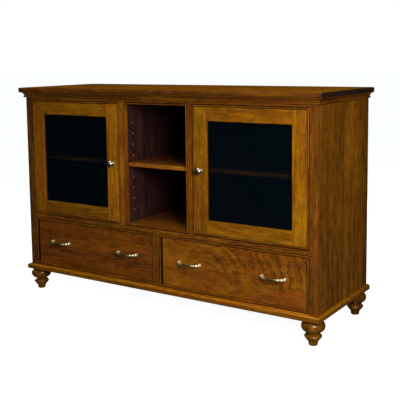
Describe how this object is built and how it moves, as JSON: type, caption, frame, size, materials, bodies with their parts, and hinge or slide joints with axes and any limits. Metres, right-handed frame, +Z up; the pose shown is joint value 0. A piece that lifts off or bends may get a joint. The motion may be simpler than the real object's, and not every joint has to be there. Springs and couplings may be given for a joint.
{
  "type": "media cabinet",
  "caption": "Low wooden media cabinet with glazed doors either side of an open cubby, drawers below with bow pulls, a moulded top edge and turned feet.",
  "frame": {"origin": "on the floor, under the middle of the whole object's box", "axes": "+X across the front to the right as seen from the front, +Y towards the back, +Z up"},
  "size_m": [1.422, 0.488, 0.889],
  "materials": {
    "cherry_case": "satin lacquered cherry, mid brown stain",
    "cherry_frame": "satin lacquered cherry, red-brown stain",
    "cherry_door": "satin lacquered cherry, golden brown stain",
    "cherry_drawer_front": "satin lacquered cherry with figured grain, red-brown stain",
    "cherry_turned": "gloss lacquered turned cherry, dark stain",
    "cherry_interior": "satin lacquered cherry",
    "stained_back": "dark stained plywood",
    "maple_drawer_box": "clear lacquered pale maple",
    "smoked_glass": "polished dark smoked glass",
    "satin_nickel": "satin nickel plate"
  },
  "bodies": {
    "cabinet": {"back_panel": "stained_back", "base_board": "cherry_case", "crown_front": "cherry_frame", "crown_left": "cherry_frame", "crown_right": "cherry_frame", "drawer_partition": "cherry_interior", "drawer_runner_left": "maple_drawer_box", "drawer_runner_right": "maple_drawer_box", "foot_back_left": "cherry_turned", "foot_back_right": "cherry_turned", "foot_front_left": "cherry_turned", "foot_front_right": "cherry_turned", "mid_deck": "cherry_interior", "partition_left": "cherry_interior", "partition_right": "cherry_interior", "rail_bottom": "cherry_frame", "rail_middle": "cherry_frame", "rail_top": "cherry_frame", "shelf_centre": "cherry_interior", "shelf_left": "cherry_interior", "shelf_right": "cherry_interior", "side_left": "cherry_case", "side_right": "cherry_case", "stile_drawer": "cherry_frame", "stile_left": "cherry_frame", "stile_right": "cherry_frame", "stile_upper_left": "cherry_frame", "stile_upper_right": "cherry_frame", "top_panel": "cherry_case"},
    "door_left": {"door_left_bottom_rail": "cherry_door", "door_left_glass": "smoked_glass", "door_left_hinge_stile": "cherry_door", "door_left_knob": "satin_nickel", "door_left_latch_stile": "cherry_door", "door_left_top_rail": "cherry_door", "hinge_pin_left_bottom": "satin_nickel", "hinge_pin_left_top": "satin_nickel"},
    "door_right": {"door_right_bottom_rail": "cherry_door", "door_right_glass": "smoked_glass", "door_right_hinge_stile": "cherry_door", "door_right_knob": "satin_nickel", "door_right_latch_stile": "cherry_door", "door_right_top_rail": "cherry_door", "hinge_pin_right_bottom": "satin_nickel", "hinge_pin_right_top": "satin_nickel"},
    "drawer_left": {"drawer_left_back": "maple_drawer_box", "drawer_left_bottom": "maple_drawer_box", "drawer_left_front": "cherry_drawer_front", "drawer_left_inner_side": "maple_drawer_box", "drawer_left_outer_side": "maple_drawer_box", "drawer_left_pull_left": "satin_nickel", "drawer_left_pull_right": "satin_nickel"},
    "drawer_right": {"drawer_right_back": "maple_drawer_box", "drawer_right_bottom": "maple_drawer_box", "drawer_right_front": "cherry_drawer_front", "drawer_right_inner_side": "maple_drawer_box", "drawer_right_outer_side": "maple_drawer_box", "drawer_right_pull_left": "satin_nickel", "drawer_right_pull_right": "satin_nickel"}
  },
  "joints": [
    {"name": "door_left_hinge", "type": "hinge", "parent": "cabinet", "child": "door_left", "pos_m": [-0.635, -0.21, 0.5905], "axis": [0, 0, -1], "range_deg": [0, 110]},
    {"name": "door_right_hinge", "type": "hinge", "parent": "cabinet", "child": "door_right", "pos_m": [0.635, -0.21, 0.5905], "axis": [0, 0, 1], "range_deg": [0, 110]},
    {"name": "drawer_left_slide", "type": "slide", "parent": "cabinet", "child": "drawer_left", "axis": [0, -1, 0], "range_m": [0, 0.32]},
    {"name": "drawer_right_slide", "type": "slide", "parent": "cabinet", "child": "drawer_right", "axis": [0, -1, 0], "range_m": [0, 0.32]}
  ]
}
